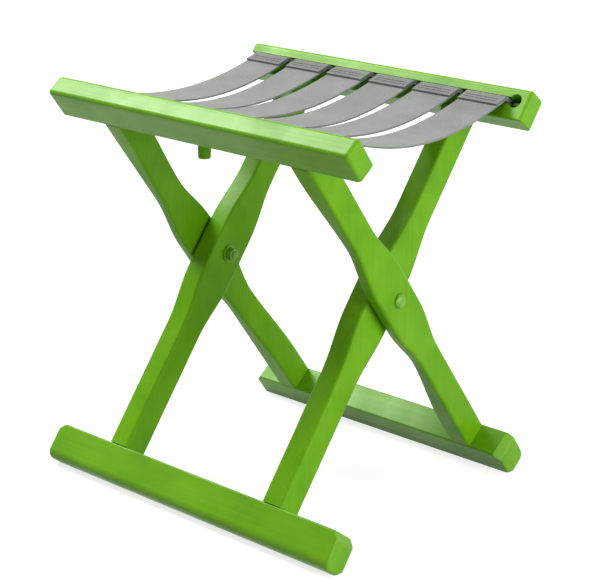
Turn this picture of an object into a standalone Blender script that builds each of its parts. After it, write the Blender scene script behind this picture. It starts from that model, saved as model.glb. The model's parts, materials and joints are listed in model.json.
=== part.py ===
# Folding camping stool: two wooden frames crossing on a pair of bolts, with a seat of webbing straps.
# Metres, Z up, X along the rails, the front of the stool towards -Y, standing on Z = 0.
import math

import bmesh
import bpy
from mathutils import Matrix, Vector

# Overall set-up of the open stool: how far each frame leans, and the angle left between the legs
# when it is folded.
LEAN = math.radians(37.15)
FOLDED = math.radians(24.5)
PIVOT_TO_RAIL = 0.180
PIVOT_TO_FOOT = 0.2025
GAP = 0.0003

# Rails: depth runs along the legs, thickness across them. Each rail is set out from the middle of its
# legs, so that its outer face is nearly flush with theirs.
FRONT_RAIL_LENGTH = 0.317
BACK_RAIL_LENGTH = 0.302
RAIL_DEPTH = 0.028
RAIL_THICKNESS = 0.019
RAIL_SET_OUT = 0.003
RAIL_TENON_WIDTH = 0.010
EDGE_ROUND = 0.003

# Feet.
FRONT_FOOT_LENGTH = 0.315
BACK_FOOT_LENGTH = 0.283
FOOT_DEPTH = 0.031
FOOT_THICKNESS = 0.0248
FOOT_FLAT_CUT = 0.005
FOOT_END_CHAMFER = 0.007

# Legs, with a swelling at the pivot and a shouldered tenon at both ends. Where two legs cross, the outer
# one is hollowed on its inner face to take the inner one, and eases out above and below.
OUTER_LEG_FACE = 0.1100
LEG_THICKNESS = 0.0205
LEG_WIDTH = 0.0252
LEG_TOP_WIDTH = 0.0245
LEG_FOOT_WIDTH = 0.0262
LEG_PIVOT_WIDTH = 0.0375
LEG_PIVOT_FLAT = 0.022
LEG_EDGE_ROUND = 0.0015
CROSSING_DEPTH = 0.009
CROSSING_CLEARANCE = 0.005
CROSSING_EASE = 0.095
SWELLING_REACH = 0.075
TENON_SHOULDER = 0.0045
TENON_TO_GROOVE = 0.0025
FOOT_TENON = 0.014

# Strap grooves and rods.
ROD_RADIUS = 0.002
ROD_FACE_DEPTH = 0.0085
ROD_ABOVE_MIDDLE = 0.002
ROD_END_SETBACK = 0.004
SLOT_CLEARANCE = 0.00135
BORE_CLEARANCE = 0.00042
POCKET_RADIUS = 0.006
POCKET_FROM_END = 0.013

# Webbing straps.
STRAP_WIDTH = 0.038
STRAP_SPACE = 0.0085
STRAP_THICKNESS = 0.0015
STRAP_FROM_END = 0.012
STRAP_TO_POCKET = 0.0005
STRAP_SLOPE = math.radians(18.0)
STRAP_BEND_RADIUS = 0.0035
STRAP_TAIL = 0.022

# Pivot hardware.
BOLT_RADIUS = 0.003
HEAD_RADIUS = 0.0062
HEAD_HEIGHT = 0.0032
WASHER_RADIUS = 0.0075
WASHER_THICKNESS = 0.0012
NUT_RADIUS = 0.0058
NUT_HEIGHT = 0.0048
BOLT_END = 0.0012

# Hanging peg.
PEG_RADIUS = 0.0055
PEG_TIP_RADIUS = 0.005
PEG_TIP_CHAMFER = 0.001
PEG_DROP = 0.0165
PEG_TENON_RADIUS = 0.003
PEG_TENON_LENGTH = 0.006
PEG_OFF_MIDDLE = 0.004

# What follows from the sizes above.
PIVOT_HEIGHT = ((PIVOT_TO_FOOT + FOOT_DEPTH / 2) * math.cos(LEAN)
                + FOOT_THICKNESS / 2 * math.sin(LEAN) - FOOT_FLAT_CUT)
LEG_GAP = WASHER_THICKNESS + 2 * GAP
INNER_LEG_FACE = OUTER_LEG_FACE - LEG_THICKNESS + CROSSING_DEPTH - LEG_GAP
CROSSING_REACH = LEG_WIDTH / 2 / math.tan(FOLDED / 2) + CROSSING_CLEARANCE
GROOVE_SLOT = 2 * STRAP_THICKNESS + GAP + 2 * SLOT_CLEARANCE
BORE_RADIUS = ROD_RADIUS + GAP + STRAP_THICKNESS + BORE_CLEARANCE
ROD_ACROSS = RAIL_THICKNESS / 2 - RAIL_SET_OUT - ROD_FACE_DEPTH
ROD_ALONG = PIVOT_TO_RAIL + ROD_ABOVE_MIDDLE
RAIL_TENON = RAIL_DEPTH / 2 + ROD_ABOVE_MIDDLE - BORE_RADIUS - TENON_TO_GROOVE
FOOT_TENON_WIDTH = LEG_FOOT_WIDTH - 2 * TENON_SHOULDER
OVERSHOOT = RAIL_THICKNESS / 8

# Paint, webbing and bare steel as colour, roughness and metallic.
GREEN_PAINT = ((0.18, 0.42, 0.03, 1.0), 0.42, 0.0)
GREY_WEBBING = ((0.35, 0.36, 0.35, 1.0), 0.9, 0.0)
BARE_STEEL = ((0.55, 0.56, 0.58, 1.0), 0.35, 1.0)

for old in list(bpy.data.objects):
    bpy.data.objects.remove(old, do_unlink=True)

stool = bpy.data.collections.new("folding_camping_stool")
bpy.context.scene.collection.children.link(stool)
cutters = bpy.data.collections.new("cutters")
bpy.context.scene.collection.children.link(cutters)

# The two frames lean opposite ways about the pivot. Each has a local frame with X along the rails,
# Y across the leg towards the seat, and Z up along the leg.
OUTER = Matrix.Rotation(LEAN, 4, "X")
INNER = Matrix.Diagonal((1.0, -1.0, 1.0, 1.0)) @ OUTER
LEVEL = Matrix.Identity(4)


def pivot_empty(name):
    empty = bpy.data.objects.new(name, None)
    empty.location = (0.0, 0.0, PIVOT_HEIGHT)
    stool.objects.link(empty)
    return empty


outer_pivot = pivot_empty("outer_frame_pivot")
inner_pivot = pivot_empty("inner_frame_pivot")


def hang(name, bm, matrix, parent, collection):
    """Turns a mesh made in a frame's own axes into an object hung on that frame's pivot."""
    bmesh.ops.transform(bm, matrix=matrix, verts=bm.verts)
    bmesh.ops.recalc_face_normals(bm, faces=bm.faces)
    mesh = bpy.data.meshes.new(name)
    bm.to_mesh(mesh)
    bm.free()
    obj = bpy.data.objects.new(name, mesh)
    obj.parent = parent
    collection.objects.link(obj)
    return obj


def piece(name, bm, matrix, parent, look, smooth=False):
    obj = hang(name, bm, matrix, parent, stool)
    if smooth:
        obj.data.shade_smooth()
        obj.data.set_sharp_from_angle(angle=math.radians(35))
    colour, roughness, metallic = look
    material = bpy.data.materials.new(name)
    material.use_nodes = True
    shader = material.node_tree.nodes["Principled BSDF"]
    shader.inputs["Base Color"].default_value = colour
    shader.inputs["Roughness"].default_value = roughness
    shader.inputs["Metallic"].default_value = metallic
    obj.data.materials.append(material)
    return obj


def shape_with(target, word, bm, matrix, parent, operation="DIFFERENCE"):
    """Cuts a shape out of a piece, or joins it on."""
    tool = hang(target.name + "_" + word, bm, matrix, parent, cutters)
    tool.hide_render = True
    tool.display_type = "WIRE"
    modifier = target.modifiers.new(word, "BOOLEAN")
    modifier.operation = operation
    modifier.solver = "EXACT"
    modifier.object = tool


def add_box(bm, low, high):
    low = Vector(low)
    high = Vector(high)
    size = high - low
    matrix = Matrix.Translation((low + high) / 2) @ Matrix.Diagonal((size.x, size.y, size.z, 1.0))
    return bmesh.ops.create_cube(bm, size=1.0, matrix=matrix)["verts"]


def add_cylinder(bm, start, end, radius, tip_radius=None, segments=24):
    start = Vector(start)
    end = Vector(end)
    run = end - start
    turn = run.to_track_quat("Z", "Y").to_matrix().to_4x4()
    matrix = Matrix.Translation((start + end) / 2) @ turn
    tip = radius if tip_radius is None else tip_radius
    bmesh.ops.create_cone(bm, cap_ends=True, segments=segments, radius1=radius, radius2=tip,
                          depth=run.length, matrix=matrix)


def add_extrusion(bm, outline, start, end):
    """Extrudes an outline of (across, along) points along X."""
    face = bm.faces.new([bm.verts.new((start, across, along)) for across, along in outline])
    grown = bmesh.ops.extrude_face_region(bm, geom=[face])["geom"]
    moved = [item for item in grown if isinstance(item, bmesh.types.BMVert)]
    bmesh.ops.translate(bm, verts=moved, vec=(end - start, 0.0, 0.0))
    bmesh.ops.recalc_face_normals(bm, faces=bm.faces)


def bar(name, length, thickness, depth, along, matrix, parent, set_out=0.0, chamfer=0.0):
    """A wooden bar with rounded edges and, on a foot, its upper end corners cut back."""
    bm = bmesh.new()
    half = length / 2
    add_box(bm, (-half, -thickness / 2 - set_out, along - depth / 2),
            (half, thickness / 2 - set_out, along + depth / 2))
    if chamfer:
        corners = []
        for edge in bm.edges:
            middle = (edge.verts[0].co + edge.verts[1].co) / 2
            if abs(middle.x) > half - GAP and middle.z > along + depth / 2 - GAP:
                corners.append(edge)
        bmesh.ops.bevel(bm, geom=corners, offset=chamfer, segments=1, profile=0.5, affect="EDGES")
    obj = piece(name, bm, matrix, parent, GREEN_PAINT)
    rounding = obj.modifiers.new("rounded_edges", "BEVEL")
    rounding.width = EDGE_ROUND
    rounding.segments = 3
    rounding.limit_method = "ANGLE"
    return obj


def mortises(target, leg_face, mouth, depth, tenon_width, set_out, matrix, parent):
    """Two sockets for the leg tenons, from the bar's face at the leg; depth is signed along the leg."""
    bm = bmesh.new()
    half = tenon_width / 2 + GAP
    start = mouth - math.copysign(OVERSHOOT, depth)
    end = mouth + depth
    for side in (-1, 1):
        inner = side * (leg_face - LEG_THICKNESS + TENON_SHOULDER - GAP)
        outer = side * (leg_face - TENON_SHOULDER + GAP)
        add_box(bm, (min(inner, outer), -half - set_out, min(start, end)),
                (max(inner, outer), half - set_out, max(start, end)))
    shape_with(target, "mortises", bm, matrix, parent)


def groove(target, length, matrix, parent):
    """Keyhole groove in the rail's inner face, open at the left end, with a round pocket at the right."""
    mouth = RAIL_THICKNESS / 2 - RAIL_SET_OUT + OVERSHOOT
    opening = math.asin(GROOVE_SLOT / 2 / BORE_RADIUS)
    outline = [(mouth, ROD_ALONG + GROOVE_SLOT / 2)]
    steps = 16
    for i in range(steps + 1):
        angle = opening + (2 * math.pi - 2 * opening) * i / steps
        across = ROD_ACROSS + BORE_RADIUS * math.cos(angle)
        outline.append((across, ROD_ALONG + BORE_RADIUS * math.sin(angle)))
    outline.append((mouth, ROD_ALONG - GROOVE_SLOT / 2))
    pocket = length / 2 - POCKET_FROM_END
    bm = bmesh.new()
    add_extrusion(bm, outline, -length / 2 - OVERSHOOT, pocket)
    shape_with(target, "groove", bm, matrix, parent)
    bm = bmesh.new()
    floor = ROD_ACROSS - BORE_RADIUS - GAP
    add_cylinder(bm, (pocket, floor, ROD_ALONG), (pocket, mouth, ROD_ALONG), POCKET_RADIUS)
    shape_with(target, "pocket", bm, matrix, parent)


def leg_half_width(along, top, bottom):
    """Half the leg's width: a smooth swelling round the pivot, then a slight taper to the end."""
    away = abs(along)
    if away >= SWELLING_REACH:
        end, end_width = (top, LEG_TOP_WIDTH) if along > 0 else (-bottom, LEG_FOOT_WIDTH)
        share = (away - SWELLING_REACH) / (end - SWELLING_REACH)
        return (LEG_WIDTH + (end_width - LEG_WIDTH) * share) / 2
    fall = max(0.0, away - LEG_PIVOT_FLAT) / (SWELLING_REACH - LEG_PIVOT_FLAT)
    return (LEG_WIDTH + (LEG_PIVOT_WIDTH - LEG_WIDTH) * (1 + math.cos(math.pi * fall)) / 2) / 2


def leg_thinning(along):
    """How far an outer leg's inner face is set back."""
    share = min(1.0, max(0.0, abs(along) - CROSSING_REACH) / CROSSING_EASE)
    return CROSSING_DEPTH * (1 + math.cos(math.pi * share)) / 2


def leg(name, face, side, matrix, parent, hollowed):
    """A leg that swells at the pivot, with a shouldered tenon at both ends and the bolt's hole."""
    top = PIVOT_TO_RAIL - RAIL_DEPTH / 2 - GAP
    bottom = -(PIVOT_TO_FOOT - FOOT_DEPTH / 2 - GAP)
    steps = 9
    easing = [CROSSING_REACH + CROSSING_EASE * i / steps for i in range(1, steps + 1)]
    swelling = [SWELLING_REACH * i / steps for i in range(steps)]
    upper = [place for place in swelling if place < CROSSING_REACH] + [CROSSING_REACH] + easing
    stations = [bottom] + [-place for place in reversed(upper[1:])] + upper + [top]
    bm = bmesh.new()
    rings = []
    for along in stations:
        half = leg_half_width(along, top, bottom)
        sunk = leg_thinning(along) if hollowed else 0.0
        inner = side * (face - LEG_THICKNESS + sunk)
        outer = side * face
        corners = ((inner, -half), (outer, -half), (outer, half), (inner, half))
        rings.append([bm.verts.new((x, across, along)) for x, across in corners])
    for low, high in zip(rings, rings[1:]):
        for i in range(4):
            bm.faces.new((low[i], low[i - 1], high[i - 1], high[i]))
    bm.faces.new(rings[0])
    bm.faces.new(rings[-1])
    bmesh.ops.recalc_face_normals(bm, faces=bm.faces)
    long_edges = []
    for edge in bm.edges:
        run = edge.verts[1].co - edge.verts[0].co
        if abs(run.z) > abs(run.x) + abs(run.y):
            long_edges.append(edge)
    bmesh.ops.bevel(bm, geom=long_edges, offset=LEG_EDGE_ROUND, segments=2, profile=0.5, affect="EDGES")
    obj = piece(name, bm, matrix, parent, GREEN_PAINT)

    bm = bmesh.new()
    near = side * (face - LEG_THICKNESS + TENON_SHOULDER)
    far = side * (face - TENON_SHOULDER)
    root = TENON_SHOULDER
    for low, high, width, set_out in (
            (top - root, top + RAIL_TENON - GAP, RAIL_TENON_WIDTH, RAIL_SET_OUT),
            (bottom - FOOT_TENON + GAP, bottom + root, FOOT_TENON_WIDTH, 0.0)):
        add_box(bm, (min(near, far), -width / 2 - set_out, low), (max(near, far), width / 2 - set_out, high))
    shape_with(obj, "tenons", bm, matrix, parent, "UNION")

    bm = bmesh.new()
    inside = side * (face - LEG_THICKNESS - OVERSHOOT)
    add_cylinder(bm, (inside, 0, 0), (side * (face + OVERSHOOT), 0, 0), BOLT_RADIUS + GAP)
    shape_with(obj, "bolt_hole", bm, matrix, parent)


def rod(name, length, matrix, parent):
    bm = bmesh.new()
    start = -length / 2 + ROD_END_SETBACK
    end = length / 2 - POCKET_FROM_END + POCKET_RADIUS / 2
    add_cylinder(bm, (start, ROD_ACROSS, ROD_ALONG), (end, ROD_ACROSS, ROD_ALONG), ROD_RADIUS)
    piece(name, bm, matrix, parent, BARE_STEEL, smooth=True)


# Outer frame: the front rail, the back foot and the two outer legs.
front_rail = bar("front_top_rail", FRONT_RAIL_LENGTH, RAIL_THICKNESS, RAIL_DEPTH, PIVOT_TO_RAIL,
                 OUTER, outer_pivot, RAIL_SET_OUT)
back_foot = bar("back_foot", BACK_FOOT_LENGTH, FOOT_THICKNESS, FOOT_DEPTH, -PIVOT_TO_FOOT,
                OUTER, outer_pivot, chamfer=FOOT_END_CHAMFER)
leg("outer_leg_left", OUTER_LEG_FACE, -1, OUTER, outer_pivot, True)
leg("outer_leg_right", OUTER_LEG_FACE, 1, OUTER, outer_pivot, True)

# Inner frame: the back rail, the front foot and the two inner legs.
back_rail = bar("back_top_rail", BACK_RAIL_LENGTH, RAIL_THICKNESS, RAIL_DEPTH, PIVOT_TO_RAIL,
                INNER, inner_pivot, RAIL_SET_OUT)
front_foot = bar("front_foot", FRONT_FOOT_LENGTH, FOOT_THICKNESS, FOOT_DEPTH, -PIVOT_TO_FOOT,
                 INNER, inner_pivot, chamfer=FOOT_END_CHAMFER)
leg("inner_leg_left", INNER_LEG_FACE, -1, INNER, inner_pivot, False)
leg("inner_leg_right", INNER_LEG_FACE, 1, INNER, inner_pivot, False)

# Both rails are grooved for the straps, and all four bars are mortised for the legs.
for rail, length, foot, face, matrix, parent in (
        (front_rail, FRONT_RAIL_LENGTH, back_foot, OUTER_LEG_FACE, OUTER, outer_pivot),
        (back_rail, BACK_RAIL_LENGTH, front_foot, INNER_LEG_FACE, INNER, inner_pivot)):
    groove(rail, length, matrix, parent)
    mortises(rail, face, PIVOT_TO_RAIL - RAIL_DEPTH / 2, RAIL_TENON, RAIL_TENON_WIDTH, RAIL_SET_OUT,
             matrix, parent)
    mortises(foot, face, -PIVOT_TO_FOOT + FOOT_DEPTH / 2, -FOOT_TENON, FOOT_TENON_WIDTH, 0.0,
             matrix, parent)

# Each foot is planed flat where it stands on the ground.
for foot, length, parent in ((back_foot, BACK_FOOT_LENGTH, outer_pivot),
                             (front_foot, FRONT_FOOT_LENGTH, inner_pivot)):
    bm = bmesh.new()
    reach = PIVOT_TO_FOOT + FOOT_DEPTH
    add_box(bm, (-length / 2 - OVERSHOOT, -reach, -PIVOT_HEIGHT - FOOT_DEPTH),
            (length / 2 + OVERSHOOT, reach, -PIVOT_HEIGHT))
    shape_with(foot, "ground", bm, LEVEL, parent)

rod("front_strap_rod", FRONT_RAIL_LENGTH, OUTER, outer_pivot)
rod("back_strap_rod", BACK_RAIL_LENGTH, INNER, inner_pivot)


# Pivot hardware: on each side a domed bolt from outside, a washer between the legs, and a washer
# and a nut on the inside.
def turned(name, profile, side, closed):
    """Turns a profile of (distance out from the middle, radius) points about the bolt's axis."""
    bm = bmesh.new()
    verts = [bm.verts.new((side * out, 0.0, radius)) for out, radius in profile]
    if side > 0:
        verts.reverse()
    for first, second in zip(verts, verts[1:]):
        bm.edges.new((first, second))
    if closed:
        bm.edges.new((verts[-1], verts[0]))
    obj = piece(name, bm, LEVEL, outer_pivot, GREEN_PAINT)
    screw = obj.modifiers.new("turned", "SCREW")
    screw.axis = "X"
    screw.steps = 24
    screw.render_steps = 24
    screw.use_merge_vertices = True
    screw.merge_threshold = 0.00002
    screw.use_smooth_shade = True


def washer(name, inner, side):
    hole = BOLT_RADIUS + GAP
    outer = inner + WASHER_THICKNESS
    turned(name, [(inner, hole), (inner, WASHER_RADIUS), (outer, WASHER_RADIUS), (outer, hole)], side, True)


def nut(name, inner, side):
    bm = bmesh.new()
    add_cylinder(bm, (side * inner, 0, 0), (side * (inner + NUT_HEIGHT), 0, 0), NUT_RADIUS, segments=6)
    obj = piece(name, bm, LEVEL, outer_pivot, GREEN_PAINT)
    bm = bmesh.new()
    add_cylinder(bm, (side * (inner - OVERSHOOT), 0, 0), (side * (inner + NUT_HEIGHT + OVERSHOOT), 0, 0),
                 BOLT_RADIUS + GAP)
    shape_with(obj, "thread", bm, LEVEL, outer_pivot)


head = OUTER_LEG_FACE + GAP
nut_washer = INNER_LEG_FACE - LEG_THICKNESS - GAP - WASHER_THICKNESS
nut_end = nut_washer - GAP - NUT_HEIGHT
bolt_profile = [
    (nut_end - BOLT_END, 0.0),
    (nut_end - BOLT_END, BOLT_RADIUS - BOLT_END / 2),
    (nut_end - BOLT_END / 2, BOLT_RADIUS),
    (head, BOLT_RADIUS),
    (head, HEAD_RADIUS),
]
for degrees in (12, 30, 48, 66, 90):
    angle = math.radians(degrees)
    dome = HEAD_RADIUS * math.cos(angle) if degrees < 90 else 0.0
    bolt_profile.append((head + HEAD_HEIGHT * math.sin(angle), dome))
for side, word in ((-1, "left"), (1, "right")):
    turned("pivot_bolt_" + word, bolt_profile, side, False)
    washer("spacer_washer_" + word, INNER_LEG_FACE + GAP, side)
    washer("nut_washer_" + word, nut_washer, side)
    nut("pivot_nut_" + word, nut_end, side)

# Hanging peg: a tapered round peg that hangs plumb, fitted to the slope of the front rail's underside,
# with a thinner tenon let up into the rail.
peg_seat = PIVOT_TO_RAIL - RAIL_DEPTH / 2
peg_axes = Matrix.Translation(OUTER @ Vector((-PEG_OFF_MIDDLE, -RAIL_SET_OUT, peg_seat)))
bm = bmesh.new()
add_cylinder(bm, (0, 0, -PEG_DROP), (0, 0, PEG_RADIUS), PEG_TIP_RADIUS, PEG_RADIUS)
tip_edges = [e for e in bm.edges if max(v.co.z for v in e.verts) < -PEG_DROP + GAP]
bmesh.ops.bevel(bm, geom=tip_edges, offset=PEG_TIP_CHAMFER, segments=1, profile=0.5, affect="EDGES")
peg = piece("hanging_peg", bm, peg_axes, outer_pivot, GREEN_PAINT, smooth=True)
bm = bmesh.new()
add_box(bm, (-PEG_OFF_MIDDLE - 2 * PEG_RADIUS, -RAIL_THICKNESS, peg_seat - GAP),
        (2 * PEG_RADIUS - PEG_OFF_MIDDLE, RAIL_THICKNESS, peg_seat + RAIL_DEPTH))
shape_with(peg, "rail_slope", bm, OUTER, outer_pivot)
bm = bmesh.new()
add_cylinder(bm, (0, 0, -PEG_DROP / 2), (0, 0, PEG_TENON_LENGTH), PEG_TENON_RADIUS)
shape_with(peg, "tenon", bm, peg_axes, outer_pivot, "UNION")
bm = bmesh.new()
add_cylinder(bm, (0, 0, -PEG_DROP), (0, 0, PEG_TENON_LENGTH + GAP), PEG_TENON_RADIUS + GAP)
shape_with(front_rail, "peg_hole", bm, peg_axes, outer_pivot)


# Webbing straps: each is sewn back on itself round the rod at both ends, and sags a little between.
def strap_end():
    """Middle line of a strap's front end in side view, from the tail round the rod to the open seat."""
    loop = ROD_RADIUS + GAP + STRAP_THICKNESS / 2
    layer = (STRAP_THICKNESS + GAP) / 2
    lip = ROD_FACE_DEPTH + GAP + STRAP_THICKNESS / 3
    closes = Vector((1.7 * loop, layer))
    touch = math.atan2(closes.y, closes.x) + math.acos(loop / closes.length)
    round_rod = []
    turn_steps = 10
    for i in range(turn_steps + 1):
        angle = touch + (2 * math.pi - 2 * touch) * i / turn_steps
        round_rod.append(Vector((loop * math.cos(angle), loop * math.sin(angle))))
    sweep = LEAN + STRAP_SLOPE
    bend_steps = 5

    def out_of_slot(offset, radius):
        points = [Vector((closes.x, offset)), Vector((lip, offset))]
        for i in range(1, bend_steps + 1):
            angle = sweep * i / bend_steps
            points.append(Vector((lip + radius * math.sin(angle), offset - radius * (1 - math.cos(angle)))))
        return points

    lower = out_of_slot(-layer, STRAP_BEND_RADIUS)
    upper = out_of_slot(layer, STRAP_BEND_RADIUS + 2 * layer)
    rod_middle = Vector((ROD_ACROSS, ROD_ALONG))
    turn = Matrix.Rotation(LEAN, 2)
    return [turn @ (point + rod_middle) for point in list(reversed(upper)) + round_rod + lower]


def strap_path():
    """The whole strap in side view as (y, z) points: both ends and the sagging band between them."""
    end = strap_end()
    reach = -end[-1].x
    sag = math.tan(STRAP_SLOPE) * reach / 2

    def height(y):
        return end[-1].y - sag * (1 - (y / reach) ** 2)

    tail = []
    for i in range(4, 0, -1):
        y = end[0].x + STRAP_TAIL * i / 4
        slope = 2 * sag * y / reach ** 2
        tail.append(Vector((y, height(y) + (STRAP_THICKNESS + GAP) * math.hypot(1.0, slope))))
    band = []
    steps = 16
    for i in range(1, steps):
        y = -reach + 2 * reach * i / steps
        band.append(Vector((y, height(y))))
    front = tail + end
    back = [Vector((-point.x, point.y)) for point in reversed(front)]
    return front + band + back


def strap(name, left):
    bm = bmesh.new()
    verts = [bm.verts.new((left, point.x, point.y)) for point in strap_path()]
    edges = [bm.edges.new(pair) for pair in zip(verts, verts[1:])]
    grown = bmesh.ops.extrude_edge_only(bm, edges=edges)["geom"]
    moved = [item for item in grown if isinstance(item, bmesh.types.BMVert)]
    bmesh.ops.translate(bm, verts=moved, vec=(STRAP_WIDTH, 0.0, 0.0))
    obj = piece(name, bm, LEVEL, outer_pivot, GREY_WEBBING)
    band = obj.modifiers.new("thickness", "SOLIDIFY")
    band.thickness = STRAP_THICKNESS
    band.offset = 0.0
    band.use_even_offset = True


# As many straps as fit side by side between the shorter rail's left end and its pocket.
shorter_rail = min(FRONT_RAIL_LENGTH, BACK_RAIL_LENGTH)
first_edge = -shorter_rail / 2 + STRAP_FROM_END
last_edge = shorter_rail / 2 - POCKET_FROM_END - POCKET_RADIUS - STRAP_TO_POCKET
pitch = STRAP_WIDTH + STRAP_SPACE
strap_count = math.floor((last_edge - first_edge + STRAP_SPACE) / pitch + 0.001)
for number in range(strap_count):
    strap("seat_strap_%d" % (number + 1), first_edge + number * pitch)
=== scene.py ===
import json
import math

import bmesh
import bpy
from mathutils import Matrix, Vector


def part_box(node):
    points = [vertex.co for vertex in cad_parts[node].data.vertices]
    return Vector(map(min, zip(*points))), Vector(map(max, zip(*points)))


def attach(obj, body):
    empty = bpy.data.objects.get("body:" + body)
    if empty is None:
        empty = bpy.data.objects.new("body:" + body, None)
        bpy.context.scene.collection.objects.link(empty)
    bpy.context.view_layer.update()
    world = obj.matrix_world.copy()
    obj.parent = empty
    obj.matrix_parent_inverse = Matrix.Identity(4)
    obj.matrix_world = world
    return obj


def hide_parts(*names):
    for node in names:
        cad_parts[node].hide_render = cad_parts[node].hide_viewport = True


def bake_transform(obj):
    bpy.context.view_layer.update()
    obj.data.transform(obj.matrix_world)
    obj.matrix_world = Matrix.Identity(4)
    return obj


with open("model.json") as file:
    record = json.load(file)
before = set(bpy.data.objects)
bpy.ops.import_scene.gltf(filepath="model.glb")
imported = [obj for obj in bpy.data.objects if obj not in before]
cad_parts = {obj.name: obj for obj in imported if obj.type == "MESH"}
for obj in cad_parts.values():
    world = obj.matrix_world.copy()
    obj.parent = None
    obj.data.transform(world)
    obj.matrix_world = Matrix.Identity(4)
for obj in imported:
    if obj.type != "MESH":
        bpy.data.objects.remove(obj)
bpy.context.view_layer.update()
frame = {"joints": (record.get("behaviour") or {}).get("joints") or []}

# ---- Top rails ----------------------------------------------------------------------------------
# Two planed bars of wood with eased edges, brushed all over with lime-green paint. A keyhole groove is
# ploughed along each inner face for a strap rod: it runs out at the left end and stops in a bored
# pocket near the right end. The leg tenons are glued into bare mortises from below.
LEAN = math.radians(37.15)
PIVOT = Vector(frame["joints"][0]["pos_m"])
PIVOT_TO_RAIL = 0.180
RAIL_DEPTH = 0.028
RAIL_THICKNESS = 0.019
RAIL_SET_OUT = 0.003
# An edge is given as its width and the steps in its rounding, marks in a finish as strength and depth.
RAIL_EDGE = (0.0034, 6)
RAIL_LOW_EDGE = (0.0014, 4)
CUTTER_OVERRUN = 0.0034
FIT_GAP = 0.0003
LEG_THICKNESS = 0.0205
TENON_SHOULDER = 0.0045
RAIL_TENON = 0.00928
RAIL_TENON_WIDTH = 0.010
ROD_FACE_DEPTH = 0.0085
ROD_ABOVE_MIDDLE = 0.002
ROD_ACROSS = RAIL_THICKNESS / 2 - RAIL_SET_OUT - ROD_FACE_DEPTH
ROD_ALONG = PIVOT_TO_RAIL + ROD_ABOVE_MIDDLE
GROOVE_SLOT = 0.006
GROOVE_BORE = 0.00422
POCKET_RADIUS = 0.006
POCKET_FROM_END = 0.013
PEG_TENON_RADIUS = 0.003
PEG_TENON_LENGTH = 0.006
PEG_OFF_MIDDLE = 0.004
LIME_DEEP = (0.112, 0.330, 0.003, 1.0)
LIME = (0.138, 0.378, 0.005, 1.0)
LIME_FRESH = (0.165, 0.420, 0.008, 1.0)
PAINT_CLOUDS = 26.0
PAINT_PEEL = 900.0
BRUSH_SHARE = 0.45
PAINT_TONES = ((0.50, LIME_DEEP), (0.72, LIME), (0.95, LIME_FRESH))
PAINT_SPREAD = (0.45, 1.0)
PAINT_ROUGHNESS = (0.42, 0.28)
BRUSH_MARKS = (0.22, 0.0006)
PEEL_MARKS = (0.10, 0.0002)
BAR_GRAIN = (10.0, 420.0, 420.0)
BAR_SHINE = 0.18
BARE_WOOD_DARK = (0.045, 0.026, 0.012, 1.0)
BARE_WOOD = (0.150, 0.088, 0.040, 1.0)
BARE_WOOD_TONES = ((0.36, BARE_WOOD_DARK), (0.62, BARE_WOOD))
BARE_WOOD_GRAIN = (14.0, 700.0, 700.0)
BARE_WOOD_MARKS = (0.4, 0.0004)
BARE_WOOD_ROUGHNESS = 0.85
FLATTEST_CORNER = 40.0


def take_up(piece):
    """Leaves one piece selected and active."""
    bpy.ops.object.select_all(action="DESELECT")
    piece.select_set(True)
    bpy.context.view_layer.objects.active = piece


def apply_place(piece):
    """Puts a piece's place, turn and size into its mesh."""
    take_up(piece)
    bpy.ops.object.transform_apply(location=True, rotation=True, scale=True)


def named_blank(name):
    """Names the blank that was just added."""
    blank = bpy.context.object
    blank.name = name
    blank.data.name = name
    return blank


def sawn_block(name, low, high):
    """A block sawn square between two corners."""
    bpy.ops.object.select_all(action="DESELECT")
    bpy.ops.mesh.primitive_cube_add(size=1.0, location=(Vector(low) + Vector(high)) / 2)
    block = named_blank(name)
    block.scale = Vector(high) - Vector(low)
    apply_place(block)
    return block


def round_blank(name, start, end, radius, sides=48, tip_radius=None):
    """A round blank between two points, straight or tapered to the radius at its end."""
    start, end = Vector(start), Vector(end)
    run = end - start
    bpy.ops.object.select_all(action="DESELECT")
    bpy.ops.mesh.primitive_cone_add(vertices=sides, radius1=radius, depth=run.length,
                                    radius2=radius if tip_radius is None else tip_radius,
                                    location=(start + end) / 2,
                                    rotation=run.to_track_quat("Z", "Y").to_euler())
    blank = named_blank(name)
    apply_place(blank)
    return blank


def open_for_work(piece, kind):
    """Opens a piece in edit mode with nothing selected."""
    take_up(piece)
    bpy.ops.object.mode_set(mode="EDIT")
    bpy.ops.mesh.select_mode(type=kind)
    bpy.ops.mesh.select_all(action="DESELECT")
    return bmesh.from_edit_mesh(piece.data)


def ease(piece, wanted, edge_size):
    """Rounds off the edges that wanted picks by their middle and their run."""
    width, rounds = edge_size
    mesh = open_for_work(piece, "EDGE")
    for edge in mesh.edges:
        first, second = (corner.co for corner in edge.verts)
        if wanted((first + second) / 2, second - first):
            edge.select_set(True)
    bmesh.update_edit_mesh(piece.data)
    bpy.ops.mesh.bevel(offset=width, segments=rounds, affect="EDGES")
    bpy.ops.object.mode_set(mode="OBJECT")


def carve(piece, cutter, how="DIFFERENCE"):
    """Cuts a shape out of a piece, or joins it on; the new faces take that shape's finish."""
    take_up(piece)
    cut = piece.modifiers.new("cut", "BOOLEAN")
    cut.operation = how
    cut.solver = "EXACT"
    cut.material_mode = "TRANSFER"
    cut.object = cutter
    bpy.ops.object.modifier_apply(modifier=cut.name)
    bpy.data.objects.remove(cutter, do_unlink=True)


def stand_in_frame(piece, facing):
    """Leans a piece that was made upright into the outer frame (facing 1) or the inner one (-1)."""
    piece.rotation_euler.x = facing * LEAN
    piece.location = PIVOT
    apply_place(piece)


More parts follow.
